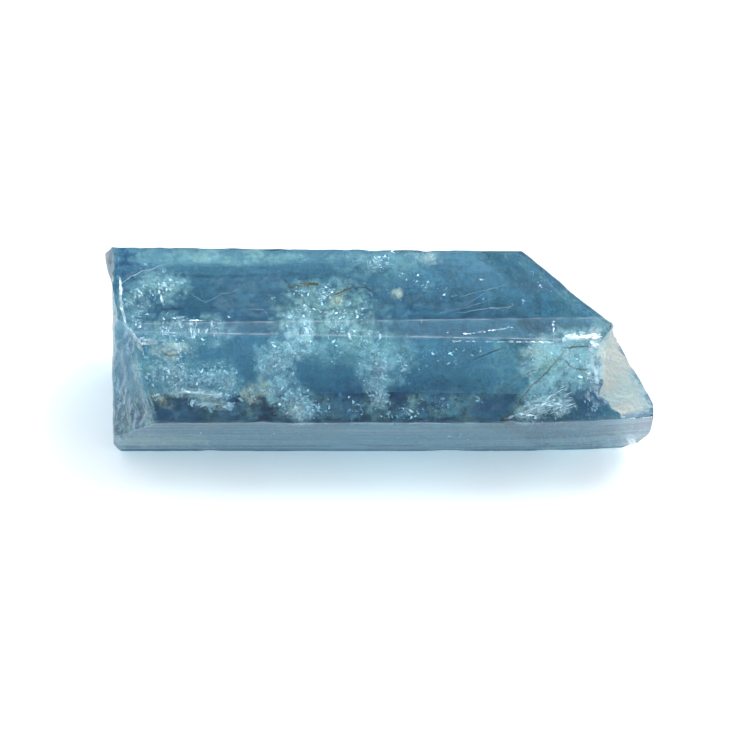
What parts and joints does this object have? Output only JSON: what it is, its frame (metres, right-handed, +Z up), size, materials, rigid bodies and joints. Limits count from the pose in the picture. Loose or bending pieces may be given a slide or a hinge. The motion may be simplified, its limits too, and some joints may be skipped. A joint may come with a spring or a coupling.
{
  "type": "aquamarine crystal",
  "caption": "Natural six-sided prism of clear blue beryl lying on one face, with a square broken end and an oblique broken tip.",
  "frame": {"origin": "on the resting plane, under the middle of the crystal's bounding box", "axes": "+X along the prism towards the oblique broken tip, -Y towards the front ridge, +Z up from the prism face the crystal lies on"},
  "size_m": [0.0398, 0.0158, 0.0132],
  "materials": {
    "aquamarine": "glassy prism faces, frosted breaks"
  },
  "bodies": {
    "root": {"crystal": "aquamarine"}
  },
  "joints": []
}
